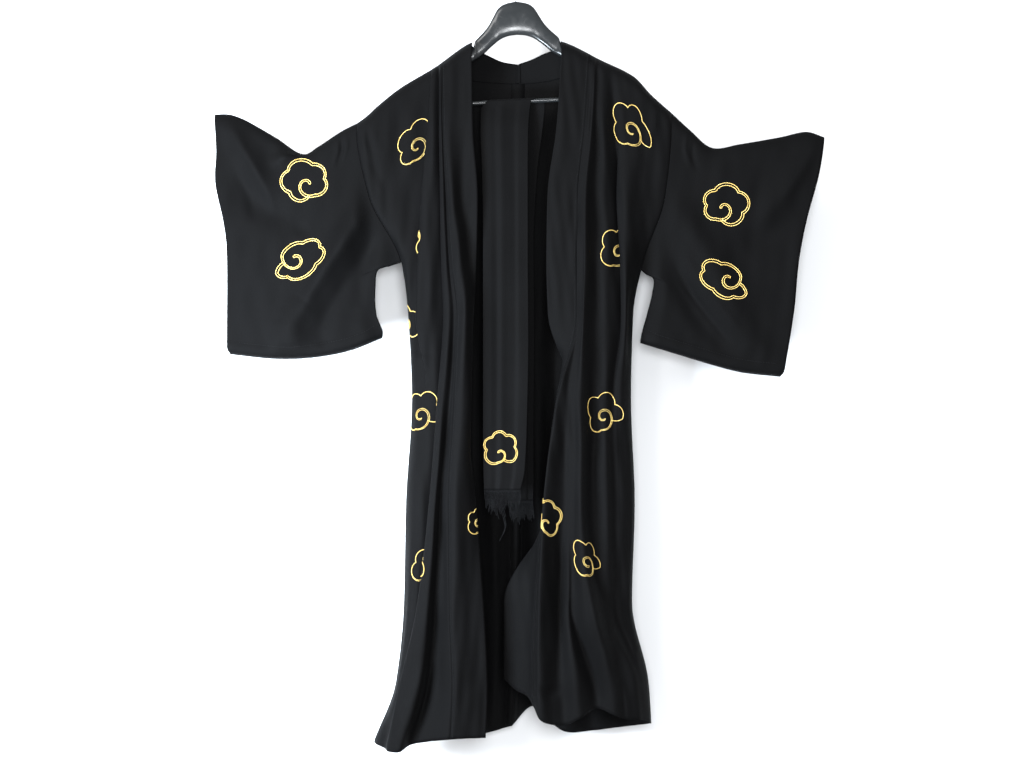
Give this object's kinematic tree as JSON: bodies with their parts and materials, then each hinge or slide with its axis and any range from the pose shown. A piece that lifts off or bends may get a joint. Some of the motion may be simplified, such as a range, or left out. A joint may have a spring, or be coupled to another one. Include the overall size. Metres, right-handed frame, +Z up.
{
  "type": "open-front kimono-cut robe with fringed sash on a clothes hanger",
  "caption": "Long open-front robe of kimono cut with square hanging sleeves, a collar band and a fringed sash, on a moulded hanger with a trouser bar and wire hook.",
  "frame": {"origin": "underside of the top of the hanger's hook, where it hangs on a rail", "axes": "+Z up, +X to the right in the picture, the robe's open front faces -Y"},
  "size_m": [1.1451, 0.1816, 1.4642],
  "materials": {
    "crepe": "black crepe with a dull sheen, gold-thread embroidered clouds",
    "sash_crepe": "black crepe sash with a twisted fringe",
    "plastic": "glossy black moulded plastic",
    "steel": "bright steel wire"
  },
  "bodies": {
    "root": {"back_left": "crepe", "back_right": "crepe", "front_left": "crepe", "front_right": "crepe", "collar_left": "crepe", "collar_right": "crepe", "sleeve_left": "crepe", "sleeve_right": "crepe", "sash": "sash_crepe", "sash_fringe_front": "sash_crepe", "sash_fringe_rear": "sash_crepe", "hanger_body": "plastic", "hanger_bar": "plastic", "hanger_hook": "steel"}
  },
  "joints": []
}
